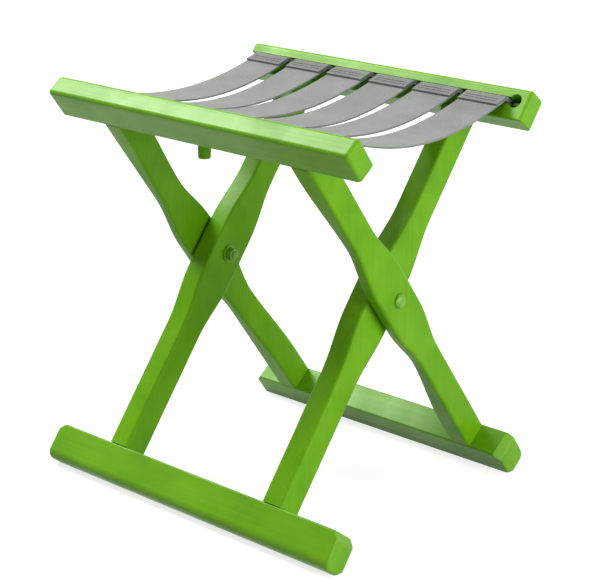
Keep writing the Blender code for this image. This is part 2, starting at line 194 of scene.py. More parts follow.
def smooth_off(piece, corner=FLATTEST_CORNER):
    """Shades the rounded edges smooth and keeps the flat faces flat; steeper corners stay sharp."""
    take_up(piece)
    bpy.ops.object.shade_smooth_by_angle(angle=math.radians(corner))
    flats = piece.modifiers.new("flats", "WEIGHTED_NORMAL")
    flats.keep_sharp = True
    bpy.ops.object.modifier_apply(modifier=flats.name)


def fit(piece, node, body):
    """Hangs a finished piece on its body in place of its solid."""
    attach(piece, body)
    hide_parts(node)


def set_inputs(tree, node, inputs):
    """Links a node's inputs to sockets, or sets them to plain values."""
    for word, value in inputs.items():
        if isinstance(value, bpy.types.NodeSocket):
            tree.links.new(value, node.inputs[word])
        else:
            node.inputs[word].default_value = value


def add_node(tree, kind, inputs, **settings):
    """A node of a finish, with its settings and inputs."""
    made = tree.nodes.new("ShaderNode" + kind)
    for word, value in settings.items():
        setattr(made, word, value)
    set_inputs(tree, made, inputs)
    return made


def add_math(tree, operation, *values, **settings):
    """A sum on sockets and plain values."""
    return add_node(tree, "Math", dict(enumerate(values)), operation=operation, **settings).outputs[0]


def add_noise(tree, place, scale, detail, roughness=0.5):
    """Uneven tones over a surface."""
    return add_node(tree, "TexNoise", {"Vector": place, "Scale": scale, "Detail": detail,
                                       "Roughness": roughness}).outputs["Fac"]


def add_range(tree, value, given, wanted):
    """Turns one range of values into another."""
    return add_node(tree, "MapRange", {"Value": value, "From Min": given[0], "From Max": given[1],
                                       "To Min": wanted[0], "To Max": wanted[1]}).outputs["Result"]


def add_bump(tree, height, marks, under=None):
    """Raised marks on the plain surface, or on other marks under them."""
    inputs = {"Height": height, "Strength": marks[0], "Distance": marks[1]}
    if under is not None:
        inputs["Normal"] = under
    return add_node(tree, "Bump", inputs).outputs["Normal"]


def add_ramp(tree, value, stops):
    """Colours at places along a value."""
    ramp = add_node(tree, "ValToRGB", {"Fac": value})
    while len(ramp.color_ramp.elements) < len(stops):
        ramp.color_ramp.elements.new(0.5)
    for stop, (place, colour) in zip(ramp.color_ramp.elements, stops):
        stop.position = place
        stop.color = colour
    return ramp.outputs["Color"]


def new_finish(name):
    """An empty material with its shader."""
    finish = bpy.data.materials.new(name)
    finish.use_nodes = True
    tree = finish.node_tree
    return finish, tree, tree.nodes["Principled BSDF"]


def on_object(tree):
    """Places in metres on the piece itself."""
    return add_node(tree, "TexCoord", {}).outputs["Object"]


def along_grain(tree, turn, stretch):
    """Object coordinates turned so that the grain runs along one axis, and stretched along it."""
    return add_node(tree, "Mapping", {"Vector": on_object(tree), "Rotation": (turn, 0.0, 0.0),
                                      "Scale": stretch}, vector_type="POINT").outputs["Vector"]


def lime_paint(name, turn, stretch, shine):
    """Brushed satin paint: faint clouds of thin and thick paint, brush marks along the grain."""
    finish, tree, shader = new_finish(name)
    place = on_object(tree)
    cloud = add_noise(tree, place, scale=PAINT_CLOUDS, detail=3.0)
    brushed = add_noise(tree, along_grain(tree, turn, stretch), scale=1.0, detail=4.0, roughness=0.6)
    peel = add_noise(tree, place, scale=PAINT_PEEL, detail=2.0)
    tone = add_math(tree, "MULTIPLY_ADD", brushed, BRUSH_SHARE, cloud)
    marks = add_bump(tree, brushed, BRUSH_MARKS)
    set_inputs(tree, shader, {"Base Color": add_ramp(tree, tone, PAINT_TONES),
                              "Roughness": add_range(tree, tone, PAINT_SPREAD, PAINT_ROUGHNESS),
                              "Normal": add_bump(tree, peel, PEEL_MARKS, marks),
                              "Specular IOR Level": shine})
    return finish


def bare_wood(name):
    """Unpainted wood inside a joint: brown, with dark lines along the bar."""
    finish, tree, shader = new_finish(name)
    lines = add_noise(tree, along_grain(tree, 0.0, BARE_WOOD_GRAIN), scale=1.0, detail=5.0)
    set_inputs(tree, shader, {"Base Color": add_ramp(tree, lines, BARE_WOOD_TONES),
                              "Normal": add_bump(tree, lines, BARE_WOOD_MARKS),
                              "Roughness": BARE_WOOD_ROUGHNESS})
    return finish


bar_paint = lime_paint("lime_paint_along_bars", 0.0, BAR_GRAIN, BAR_SHINE)
joint_wood = bare_wood("bare_wood_in_joints")


def cut_mortises(bar, leg_face, mouth, depth, tenon_width, middle):
    """Sockets for two leg tenons, from the bar's face at the leg; depth is signed along the leg."""
    half = tenon_width / 2 + FIT_GAP
    start = mouth - math.copysign(CUTTER_OVERRUN, depth)
    for side in (-1, 1):
        edges = sorted((side * (leg_face - LEG_THICKNESS + TENON_SHOULDER - FIT_GAP),
                        side * (leg_face - TENON_SHOULDER + FIT_GAP)))
        low, high = sorted((start, mouth + depth))
        socket = sawn_block("socket", (edges[0], middle - half, low), (edges[1], middle + half, high))
        socket.data.materials.append(joint_wood)
        carve(bar, socket)


def top_rail(node, facing):
    """One rail, made upright about the pivot with its grooved face to the seat."""
    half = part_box(node)[1].x
    low, high = PIVOT_TO_RAIL - RAIL_DEPTH / 2, PIVOT_TO_RAIL + RAIL_DEPTH / 2
    across = -facing * RAIL_SET_OUT
    rail = sawn_block(node + "_wood", (-half, across - RAIL_THICKNESS / 2, low),
                      (half, across + RAIL_THICKNESS / 2, high))
    rail.data.materials.append(bar_paint)
    ease(rail, lambda middle, run: middle.z > low + FIT_GAP, RAIL_EDGE)
    ease(rail, lambda middle, run: middle.z < low + FIT_GAP, RAIL_LOW_EDGE)
    mouth = facing * (RAIL_THICKNESS / 2 - RAIL_SET_OUT + CUTTER_OVERRUN)
    rod = facing * ROD_ACROSS
    left = -half - CUTTER_OVERRUN
    pocket = half - POCKET_FROM_END
    bore = round_blank("bore", (left, rod, ROD_ALONG), (pocket, rod, ROD_ALONG), GROOVE_BORE)
    slot = sawn_block("slot", (left, min(rod, mouth), ROD_ALONG - GROOVE_SLOT / 2),
                      (pocket, max(rod, mouth), ROD_ALONG + GROOVE_SLOT / 2))
    floor = facing * (ROD_ACROSS - GROOVE_BORE - FIT_GAP)
    hole = round_blank("pocket", (pocket, floor, ROD_ALONG), (pocket, mouth, ROD_ALONG), POCKET_RADIUS)
    for cutter in (bore, slot, hole):
        cutter.data.materials.append(bar_paint)
        carve(rail, cutter)
    return rail


rail_underside = PIVOT_TO_RAIL - RAIL_DEPTH / 2
peg_top = PIVOT + Matrix.Rotation(LEAN, 3, "X") @ Vector((-PEG_OFF_MIDDLE, -RAIL_SET_OUT, rail_underside))
for node, leg_node, facing, body in (("front_top_rail", "outer_leg_right", 1, "outer_frame"),
                                     ("back_top_rail", "inner_leg_right", -1, "inner_frame")):
    rail = top_rail(node, facing)
    cut_mortises(rail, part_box(leg_node)[1].x, rail_underside, RAIL_TENON, RAIL_TENON_WIDTH,
                 -facing * RAIL_SET_OUT)
    stand_in_frame(rail, facing)
    if node == "front_top_rail":
        peg_hole = round_blank("peg_hole", peg_top - Vector((0, 0, RAIL_DEPTH)),
                               peg_top + Vector((0, 0, PEG_TENON_LENGTH + FIT_GAP)),
                               PEG_TENON_RADIUS + FIT_GAP)
        peg_hole.data.materials.append(joint_wood)
        carve(rail, peg_hole)
    smooth_off(rail)
    fit(rail, node, body)

# ---- Feet ---------------------------------------------------------------------------------------
# Two heavier painted bars across the bottom of the legs. Their upper end corners are cut back, the long
# edges are well rounded by hand, and a flat strip is planed where each stands on the ground.
PIVOT_TO_FOOT = 0.2025
FOOT_DEPTH = 0.031
FOOT_THICKNESS = 0.0248
FOOT_CORNER = (0.007, 1)
FOOT_LONG_EDGE = (0.0042, 6)
FOOT_LOW_EDGE = (0.0080, 8)
FOOT_TOP_EDGE = (0.0014, 4)
FOOT_END_EDGE = (0.0026, 4)
FOOT_TENON = 0.014
FOOT_TENON_WIDTH = 0.0172


def foot_bar(node, facing):
    """One foot, made upright about the pivot, with its rounder lower edge on the outside."""
    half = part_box(node)[1].x
    low, high = -PIVOT_TO_FOOT - FOOT_DEPTH / 2, -PIVOT_TO_FOOT + FOOT_DEPTH / 2
    side = FOOT_THICKNESS / 2
    bar = sawn_block(node + "_wood", (-half, -side, low), (half, side, high))
    bar.data.materials.append(bar_paint)

    def on_end(middle, run):
        return abs(middle.x) > half - FIT_GAP

    def long_run(middle, run):
        return abs(run.x) > half

    def low_outside(middle, run):
        return long_run(middle, run) and middle.z < low + FIT_GAP and facing * middle.y > side - FIT_GAP

    def low_inside(middle, run):
        return long_run(middle, run) and middle.z < low + FIT_GAP and facing * middle.y < FIT_GAP - side

    def top_long(middle, run):
        return long_run(middle, run) and middle.z > high - FIT_GAP

    ease(bar, lambda middle, run: on_end(middle, run) and middle.z > high - FIT_GAP, FOOT_CORNER)
    ease(bar, low_outside, FOOT_LOW_EDGE)
    ease(bar, low_inside, FOOT_LONG_EDGE)
    ease(bar, top_long, FOOT_TOP_EDGE)
    ease(bar, on_end, FOOT_END_EDGE)
    return bar


def saw_through(piece, point, square_to, **how):
    """Saws a piece at a plane; how says which side falls off and whether the cut is closed."""
    open_for_work(piece, "VERT")
    bpy.ops.mesh.select_all(action="SELECT")
    bpy.ops.mesh.bisect(plane_co=tuple(point), plane_no=tuple(square_to), **how)
    bpy.ops.object.mode_set(mode="OBJECT")


for node, leg_node, facing, body in (("back_foot", "outer_leg_right", 1, "outer_frame"),
                                     ("front_foot", "inner_leg_right", -1, "inner_frame")):
    foot = foot_bar(node, facing)
    cut_mortises(foot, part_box(leg_node)[1].x, FOOT_DEPTH / 2 - PIVOT_TO_FOOT, -FOOT_TENON,
                 FOOT_TENON_WIDTH, 0.0)
    stand_in_frame(foot, facing)
    saw_through(foot, (0.0, 0.0, 0.0), (0.0, 0.0, 1.0), use_fill=True, clear_inner=True)
    smooth_off(foot)
    fit(foot, node, body)

# ---- Legs ---------------------------------------------------------------------------------------
# Four painted legs, band-sawn to one pattern for each frame: nearly parallel, with a smooth swelling
# round the pivot bolt, rounded long edges and a shouldered tenon at both ends. Where two legs cross, the
# outer one is hollowed on its inner face to take the inner one, and eases out above and below.
LEG_WIDTHS = {1: (0.0246, 0.0244, 0.0248), -1: (0.0254, 0.0252, 0.0252)}
LEG_PIVOT_WIDTH = {1: 0.0370, -1: 0.0384}
LEG_PIVOT_FLAT = 0.022
LEG_EDGE = (0.0030, 5)
LEG_STEPS = 14
SWELLING_REACH = 0.075
CROSSING_DEPTH = {1: 0.009, -1: 0.0}
CROSSING_REACH = 0.0630
CROSSING_EASE = 0.095
BOLT_RADIUS = 0.003
HOLE_SIDES = 32
SQUARE_ON = 0.999
LEG_GRAIN = (420.0, 420.0, 10.0)
LEG_SHINE = 0.10

leg_top = PIVOT_TO_RAIL - RAIL_DEPTH / 2 - FIT_GAP
leg_bottom = -(PIVOT_TO_FOOT - FOOT_DEPTH / 2 - FIT_GAP)
leg_paint = {1: lime_paint("lime_paint_along_outer_legs", -LEAN, LEG_GRAIN, LEG_SHINE),
             -1: lime_paint("lime_paint_along_inner_legs", LEAN, LEG_GRAIN, LEG_SHINE)}


def leg_width(along, facing):
    """The pattern's width: a smooth swelling round the pivot, then a slight taper to either end."""
    width, top_width, foot_width = LEG_WIDTHS[facing]
    away = abs(along)
    if away >= SWELLING_REACH:
        end, end_width = (leg_top, top_width) if along > 0 else (-leg_bottom, foot_width)
        return width + (end_width - width) * (away - SWELLING_REACH) / (end - SWELLING_REACH)
    fall = max(0.0, away - LEG_PIVOT_FLAT) / (SWELLING_REACH - LEG_PIVOT_FLAT)
    return width + (LEG_PIVOT_WIDTH[facing] - width) * (1 + math.cos(math.pi * fall)) / 2


def leg_thickness(along, facing):
    """Full at the ends and less by the hollow at the crossing, with a smooth easing between."""
    share = min(1.0, max(0.0, abs(along) - CROSSING_REACH) / CROSSING_EASE)
    return LEG_THICKNESS - CROSSING_DEPTH[facing] * (1 + math.cos(math.pi * share)) / 2


def draw_out(piece, direction, stations, pinned=(0.0, 0.0, 0.0)):
    """Draws out the face that ends a piece in a direction, step by step, and scales it at each one
    about its middle, or about a point set off from there."""
    direction = Vector(direction)
    mesh = open_for_work(piece, "FACE")
    square = [face for face in mesh.faces if abs(face.normal @ direction) > SQUARE_ON]
    end = max(square, key=lambda face: face.calc_center_median() @ direction)
    end.select_set(True)
    bmesh.update_edit_mesh(piece.data)
    centre = end.calc_center_median() + Vector(pinned)
    for step, scale in stations:
        centre = centre + direction * step
        bpy.ops.mesh.extrude_region_move(TRANSFORM_OT_translate={"value": tuple(direction * step)})
        bpy.ops.transform.resize(value=scale, center_override=tuple(centre))
    bpy.ops.object.mode_set(mode="OBJECT")


def tenon(low, high, width, middle):
    """A square tenon of bare wood on the pattern's middle, shouldered on both faces."""
    cheek = LEG_THICKNESS / 2 - TENON_SHOULDER
    block = sawn_block("tenon", (-cheek, middle - width / 2, low), (cheek, middle + width / 2, high))
    block.data.materials.append(joint_wood)
    return block


def turn_faces_out(piece):
    """Makes every face of a closed piece point outwards."""
    open_for_work(piece, "FACE")
    bpy.ops.mesh.select_all(action="SELECT")
    bpy.ops.mesh.normals_make_consistent(inside=False)
    bpy.ops.object.mode_set(mode="OBJECT")


def leg_pattern(facing):
    """The leg that a frame's two legs are copied from, upright about the pivot, any hollow on its +X face."""
    swelling = [SWELLING_REACH * i / LEG_STEPS for i in range(LEG_STEPS)]
    easing = [CROSSING_REACH + CROSSING_EASE * i / LEG_STEPS for i in range(1, LEG_STEPS + 1)]
    upper = [place for place in swelling if place < CROSSING_REACH] + [CROSSING_REACH] + easing
    places = [leg_bottom] + [-place for place in reversed(upper[1:])] + upper + [leg_top]
    bpy.ops.object.select_all(action="DESELECT")
    bpy.ops.mesh.primitive_plane_add(size=1.0, location=(0.0, 0.0, leg_bottom))
    pattern = named_blank("leg_pattern")
    pattern.scale = (LEG_THICKNESS, leg_width(leg_bottom, facing), 1.0)
    apply_place(pattern)
    stations = [(above - below, (leg_thickness(above, facing) / leg_thickness(below, facing),
                                 leg_width(above, facing) / leg_width(below, facing), 1.0))
                for below, above in zip(places, places[1:])]
    draw_out(pattern, (0.0, 0.0, 1.0), stations, (-LEG_THICKNESS / 2, 0.0, 0.0))
    turn_faces_out(pattern)
    pattern.data.materials.append(leg_paint[facing])
    ease(pattern, lambda middle, run: abs(run.z) > abs(run.x) + abs(run.y), LEG_EDGE)
    for low, high, width, middle in (
            (leg_top - TENON_SHOULDER, leg_top + RAIL_TENON - FIT_GAP, RAIL_TENON_WIDTH, -RAIL_SET_OUT),
            (leg_bottom - FOOT_TENON + FIT_GAP, leg_bottom + TENON_SHOULDER, FOOT_TENON_WIDTH, 0.0)):
        carve(pattern, tenon(low, high, width, middle), "UNION")
    return pattern


def copy_of(piece, name):
    """A copy with a mesh of its own."""
    copy = piece.copy()
    copy.data = piece.data.copy()
    copy.name = name
    copy.data.name = name
    bpy.context.scene.collection.objects.link(copy)
    return copy


patterns = {facing: leg_pattern(facing) for facing in (1, -1)}
for node, facing, body in (("outer_leg_left", 1, "outer_frame"), ("outer_leg_right", 1, "outer_frame"),
                           ("inner_leg_left", -1, "inner_frame"), ("inner_leg_right", -1, "inner_frame")):
    low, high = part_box(node)
    middle = (low.x + high.x) / 2
    side = math.copysign(1.0, middle)
    leg = copy_of(patterns[facing], node + "_wood")
    leg.scale = (-side * facing, facing, 1.0)
    leg.location.x = middle
    apply_place(leg)
    turn_faces_out(leg)
    hole = round_blank("bolt_hole", (middle - LEG_THICKNESS, 0, 0), (middle + LEG_THICKNESS, 0, 0),
                       BOLT_RADIUS + FIT_GAP, HOLE_SIDES)
    hole.data.materials.append(joint_wood)
    carve(leg, hole)
    stand_in_frame(leg, facing)
    smooth_off(leg)
    fit(leg, node, body)
for pattern in patterns.values():
    bpy.data.objects.remove(pattern, do_unlink=True)

# ---- Hanging peg --------------------------------------------------------------------------------
# A short tapered peg under the middle of the front rail, to hang the folded stool up or hold it shut.
# It is turned from wood, fitted to the slope of the rail, glued in by a thin tenon and painted with it.
PEG_RADIUS = 0.0055
PEG_TIP_RADIUS = 0.005
PEG_TIP_EDGE = (0.0011, 4)
PEG_DROP = 0.0165
PEG_SIDES = 40

peg = round_blank("hanging_peg_wood", peg_top - Vector((0, 0, PEG_DROP)),
                  peg_top + Vector((0, 0, PEG_RADIUS)), PEG_TIP_RADIUS, PEG_SIDES, PEG_RADIUS)
ease(peg, lambda middle, run: middle.z < peg_top.z - PEG_DROP + FIT_GAP, PEG_TIP_EDGE)
rail_slope = Matrix.Rotation(LEAN, 3, "X") @ Vector((0.0, 0.0, 1.0))
saw_through(peg, peg_top - rail_slope * FIT_GAP, rail_slope, use_fill=True, clear_outer=True)
peg.data.materials.append(lime_paint("lime_paint_on_peg", 0.0, LEG_GRAIN, LEG_SHINE))
peg_tenon = round_blank("peg_tenon", peg_top - Vector((0, 0, PEG_RADIUS)),
                        peg_top + Vector((0, 0, PEG_TENON_LENGTH)), PEG_TENON_RADIUS, HOLE_SIDES)
peg_tenon.data.materials.append(joint_wood)
carve(peg, peg_tenon, "UNION")
smooth_off(peg)
fit(peg, "hanging_peg", "outer_frame")

# ---- Pivot bolts --------------------------------------------------------------------------------
# On each side a steel bolt with a low domed head goes through both legs from outside, with a washer
# between the legs, and a washer and a hexagon nut inside. All of it was painted over with the frame.
HEAD_RADIUS = 0.0062
HEAD_HEIGHT = 0.0032
HEAD_ANGLES = (0, 8, 16, 26, 36, 46, 56, 66, 76, 84)
BOLT_SIDES = 40
BOLT_END_EDGE = (0.0006, 3)
WASHER_RADIUS = 0.0075
WASHER_SIDES = 48
WASHER_EDGE = (0.0002, 2)
NUT_RADIUS = 0.0058
NUT_SIDES = 6
NUT_EDGE = (0.0005, 3)
BORE_OVERRUN = 0.01
PAINTED_STEEL_DEEP = (0.090, 0.270, 0.005, 1.0)
STEEL_PAINT_RUNS = 240.0
STEEL_PAINT_TONES = ((0.34, PAINTED_STEEL_DEEP), (0.52, LIME), (0.72, LIME_FRESH))
STEEL_PAINT_SPREAD = (0.3, 0.7)
STEEL_PAINT_ROUGHNESS = (0.42, 0.26)
STEEL_PAINT_LUMPS = (0.25, 0.0003)


def painted_steel(name):
    """Lime paint lying thicker and glossier on steel, darker where it is thin."""
    finish, tree, shader = new_finish(name)
    runs = add_noise(tree, on_object(tree), scale=STEEL_PAINT_RUNS, detail=3.0)
    set_inputs(tree, shader, {"Base Color": add_ramp(tree, runs, STEEL_PAINT_TONES),
                              "Roughness": add_range(tree, runs, STEEL_PAINT_SPREAD, STEEL_PAINT_ROUGHNESS),
                              "Normal": add_bump(tree, runs, STEEL_PAINT_LUMPS)})
    return finish


hardware_paint = painted_steel("lime_paint_on_steel")


def span(node, outward):
    """Inner and outer end of a piece of hardware, measured out from the middle of the stool."""
    near, far = sorted(abs(corner.x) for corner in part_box(node))
    return PIVOT + outward * near, PIVOT + outward * far


def domed_bolt(node, outward):
    """A round shank with its domed head drawn out of the outer end."""
    shank_end, head_top = span(node, outward)
    bolt = round_blank(node + "_steel", shank_end, head_top - outward * HEAD_HEIGHT, BOLT_RADIUS, BOLT_SIDES)
    bolt.data.materials.append(hardware_paint)
    ease(bolt, lambda middle, run: abs(middle.x - shank_end.x) < FIT_GAP, BOLT_END_EDGE)
    grown = HEAD_RADIUS / BOLT_RADIUS
    dome = [(0.0, (1.0, grown, grown))]
    angles = [math.radians(degrees) for degrees in HEAD_ANGLES]
    for lower, upper in zip(angles, angles[1:]):
        shrink = math.cos(upper) / math.cos(lower)
        dome.append((HEAD_HEIGHT * (math.sin(upper) - math.sin(lower)), (1.0, shrink, shrink)))
    draw_out(bolt, outward, dome)
    turn_faces_out(bolt)
    return bolt


def bored_disc(node, outward, radius, sides, wanted, edge_size):
    """A washer or a nut: a round or hexagon disc with eased edges, bored for the bolt."""
    inner, outer = span(node, outward)
    disc = round_blank(node + "_steel", inner, outer, radius, sides)
    disc.data.materials.append(hardware_paint)
    ease(disc, wanted, edge_size)
    bore = round_blank("bore", inner - outward * BORE_OVERRUN, outer + outward * BORE_OVERRUN,
                       BOLT_RADIUS + FIT_GAP, HOLE_SIDES)
    bore.data.materials.append(hardware_paint)
    carve(disc, bore)
    return disc


for side, word in ((-1, "left"), (1, "right")):
    outward = Vector((side, 0.0, 0.0))
    node = "pivot_bolt_" + word
    pieces = [(domed_bolt(node, outward), node)]
    for node in ("spacer_washer_" + word, "nut_washer_" + word):
        washer = bored_disc(node, outward, WASHER_RADIUS, WASHER_SIDES,
                            lambda middle, run: abs(run.x) < FIT_GAP, WASHER_EDGE)
        pieces.append((washer, node))
    node = "pivot_nut_" + word
    nut = bored_disc(node, outward, NUT_RADIUS, NUT_SIDES, lambda middle, run: True, NUT_EDGE)
    pieces.append((nut, node))
    for piece, node in pieces:
        smooth_off(piece)
        fit(piece, node, "outer_frame")

# ---- Strap rods ---------------------------------------------------------------------------------
# A straight steel wire rod lies in each rail's groove and holds the strap loops in it. It is pushed in
# from the groove's open left end; its other end shows in the pocket, where the brush caught it with paint.
ROD_RADIUS = 0.002
ROD_SIDES = 24
ROD_EDGE = (0.0004, 3)
ROD_PAINTED_TIP = 0.007
STEEL_BRIGHT = (0.56, 0.56, 0.57, 1.0)
STEEL_DULL = (0.30, 0.29, 0.28, 1.0)
WIRE_TONES = ((0.35, STEEL_DULL), (0.60, STEEL_BRIGHT))
WIRE_GRAIN = (20.0, 3000.0, 3000.0)
WIRE_ROUGHNESS = (0.24, 0.46)
WIRE_MARKS = (0.15, 0.0001)


def wire_steel(name):
    """Drawn steel wire: fine lines along the rod and dull patches."""
    finish, tree, shader = new_finish(name)
    lines = add_noise(tree, along_grain(tree, 0.0, WIRE_GRAIN), scale=1.0, detail=4.0)
    set_inputs(tree, shader, {"Base Color": add_ramp(tree, lines, WIRE_TONES),
                              "Roughness": add_range(tree, lines, (0.0, 1.0), WIRE_ROUGHNESS),
                              "Normal": add_bump(tree, lines, WIRE_MARKS),
                              "Metallic": 1.0})
    return finish


rod_steel = wire_steel("drawn_wire_steel")
for node, body in (("front_strap_rod", "outer_frame"), ("back_strap_rod", "inner_frame")):
    low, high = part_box(node)
    middle = (low + high) / 2
    rod = round_blank(node + "_steel", (low.x, middle.y, middle.z), (high.x, middle.y, middle.z),
                      ROD_RADIUS, ROD_SIDES)
    ease(rod, lambda place, run: abs(run.x) < FIT_GAP, ROD_EDGE)
    rod.data.materials.append(rod_steel)
    rod.data.materials.append(hardware_paint)
    paint_from = high.x - ROD_PAINTED_TIP
    saw_through(rod, (paint_from, 0.0, 0.0), (1.0, 0.0, 0.0))
    for face in rod.data.polygons:
        face.material_index = int(face.center.x > paint_from)
    smooth_off(rod)
    fit(rod, node, body)

# ---- Webbing straps -----------------------------------------------------------------------------
# Six straps of woven grey webbing, each turned back on itself round the rod at both ends and sewn down.
# They come out of the grooves, bend over the lower lip and sag between the rails, each a little
# differently. Their colour has painted light in the middle of the seat and painted shade towards the rails.
STRAP_WIDTH = 0.038
STRAP_THICKNESS = 0.0015
STRAP_SLOPE = math.radians(18.0)
STRAP_BEND_RADIUS = 0.0035
STRAP_TAIL = 0.0115
STRAP_CUP = 0.0007
STRAP_SLACK_AND_TWIST = ((0.0002, 0.0003), (0.0010, -0.0004), (-0.0002, 0.0002),
                         (0.0007, 0.0004), (0.0001, -0.0003), (0.0009, 0.0002))
LOOP_CLOSES = 1.7
LOOP_STEPS, SLOT_STEPS, BEND_STEPS, TAIL_STEPS, BAND_STEPS = 28, 3, 12, 14, 72
STRAP_CELLS = 16
STRAP_CORNER = 50.0
WEB_GREY_DARK = (0.136, 0.147, 0.138, 1.0)
WEB_GREY = (0.203, 0.216, 0.205, 1.0)
WEB_GREY_LIGHT = (0.275, 0.288, 0.275, 1.0)
WEB_TONES = ((0.42, WEB_GREY_DARK), (0.68, WEB_GREY), (0.92, WEB_GREY_LIGHT))
# Painted light and shade: the webbing's tone is raised in the middle of the seat and lowered towards the rails.
PAINTED_SHADE_TONES = (0.045, -0.090)
PAINTED_SHADE_REACH = (0.065, 0.125)
WARP_PITCH = 0.0019
WEFT_PITCH = 0.0016
WARP_SHARE, CORD_SHARE, FUZZ_SHARE = 0.6, 0.12, 0.35
WEB_FUZZ, FUZZ_HEIGHT = 1600.0, 0.5
WEB_CLOUDS, CLOUD_SHARE, CLOUD_LIFT = 34.0, 0.40, 0.31
WEAVE_MARKS = (0.55, 0.00018)
WEB_ROUGHNESS, WEB_SHINE = 0.92, 0.2
WEB_SHEEN, WEB_SHEEN_ROUGHNESS = 0.25, 0.5


def strap_end():
    """Middle line of a strap's front end in side view, from the tail round the rod to the open seat."""
    loop = ROD_RADIUS + FIT_GAP + STRAP_THICKNESS / 2
    layer = (STRAP_THICKNESS + FIT_GAP) / 2
    lip = ROD_FACE_DEPTH + FIT_GAP + STRAP_THICKNESS / 3
    closes = Vector((LOOP_CLOSES * loop, layer))
    touch = math.atan2(closes.y, closes.x) + math.acos(loop / closes.length)
    round_rod = []
    for i in range(LOOP_STEPS + 1):
        angle = touch + (2 * math.pi - 2 * touch) * i / LOOP_STEPS
        round_rod.append(Vector((loop * math.cos(angle), loop * math.sin(angle))))
    sweep = LEAN + STRAP_SLOPE

    def out_of_slot(offset, radius):
        points = [Vector((closes.x + (lip - closes.x) * i / SLOT_STEPS, offset)) for i in range(SLOT_STEPS + 1)]
        for i in range(1, BEND_STEPS + 1):
            angle = sweep * i / BEND_STEPS
            points.append(Vector((lip + radius * math.sin(angle), offset - radius * (1 - math.cos(angle)))))
        return points

    lower = out_of_slot(-layer, STRAP_BEND_RADIUS)
    upper = out_of_slot(layer, STRAP_BEND_RADIUS + 2 * layer)
    rod_middle = Vector((ROD_ACROSS, ROD_ALONG))
    turn = Matrix.Rotation(LEAN, 2)
    lift = Vector((0.0, PIVOT.z))
    return [turn @ (point + rod_middle) + lift for point in list(reversed(upper)) + round_rod + lower]


strap_front = strap_end()
strap_reach = -strap_front[-1].x
strap_sag = math.tan(STRAP_SLOPE) * strap_reach / 2


def band_height(y):
    """Height of the sagging band's middle line."""
    return strap_front[-1].y - strap_sag * (1 - (y / strap_reach) ** 2)


def band_slope(y):
    """How steep the band is there."""
    return 2 * strap_sag * y / strap_reach ** 2


def tail_point(y):
    """A point of the sewn-back tail, one layer above the band."""
    return Vector((y, band_height(y) + (STRAP_THICKNESS + FIT_GAP) * math.hypot(1.0, band_slope(y))))


def strap_path():
    """The whole strap in side view as (y, z) points: both ends and the sagging band between them."""
    tail = [tail_point(strap_front[0].x + STRAP_TAIL * i / TAIL_STEPS) for i in range(TAIL_STEPS, 0, -1)]
    band = []
    for i in range(1, BAND_STEPS):
        y = -strap_reach + 2 * strap_reach * i / BAND_STEPS
        band.append(Vector((y, band_height(y))))
    front = tail + strap_front
    back = [Vector((-point.x, point.y)) for point in reversed(front)]
    return front + band + back


def webbing(name):
    """Woven webbing: warp cords along the strap, weft picks across, and painted light in the middle with
    painted shade towards the rails.
    """
    finish, tree, shader = new_finish(name)
    cloth = add_node(tree, "UVMap", {}, uv_map="strap_metres").outputs["UV"]
    parts = add_node(tree, "SeparateXYZ", {"Vector": cloth})
    across, along = parts.outputs["X"], parts.outputs["Y"]

    def wave(value, pitch):
        return add_math(tree, "SINE", add_math(tree, "MULTIPLY", value, 2 * math.pi / pitch))

    warp = wave(across, WARP_PITCH)
    crossed = add_math(tree, "MULTIPLY", warp, wave(along, WEFT_PITCH))
    cords = add_math(tree, "MULTIPLY_ADD", warp, WARP_SHARE, crossed)
    place = on_object(tree)
    fuzz = add_noise(tree, place, scale=WEB_FUZZ, detail=2.0)
    cloud = add_noise(tree, place, scale=WEB_CLOUDS, detail=4.0)
    tone_and_rail_shade = add_math(tree, "MULTIPLY_ADD", cloud, CLOUD_SHARE, CLOUD_LIFT)
    # Painted shade and light: darker towards the rails, where they shade the webbing, lighter in the open
    # middle.
    off_middle = add_math(tree, "ABSOLUTE", add_math(tree, "SUBTRACT", along, path_run[-1] / 2))
    tone_and_rail_shade = add_math(tree, "ADD", tone_and_rail_shade, add_range(tree, off_middle, PAINTED_SHADE_REACH, PAINTED_SHADE_TONES))
    woven = add_math(tree, "MULTIPLY_ADD", cords, CORD_SHARE, tone_and_rail_shade)
    hairy = add_math(tree, "MULTIPLY_ADD", fuzz, FUZZ_SHARE, woven)
    height = add_math(tree, "MULTIPLY_ADD", fuzz, FUZZ_HEIGHT, cords)
    set_inputs(tree, shader, {"Base Color": add_ramp(tree, hairy, WEB_TONES),
                              "Normal": add_bump(tree, height, WEAVE_MARKS),
                              "Roughness": WEB_ROUGHNESS, "Specular IOR Level": WEB_SHINE,
                              "Sheen Weight": WEB_SHEEN, "Sheen Roughness": WEB_SHEEN_ROUGHNESS})
    return finish


path = strap_path()
path_run = [0.0]
for lower, upper in zip(path, path[1:]):
    path_run.append(path_run[-1] + (upper - lower).length)
strap_cloth = webbing("grey_webbing")


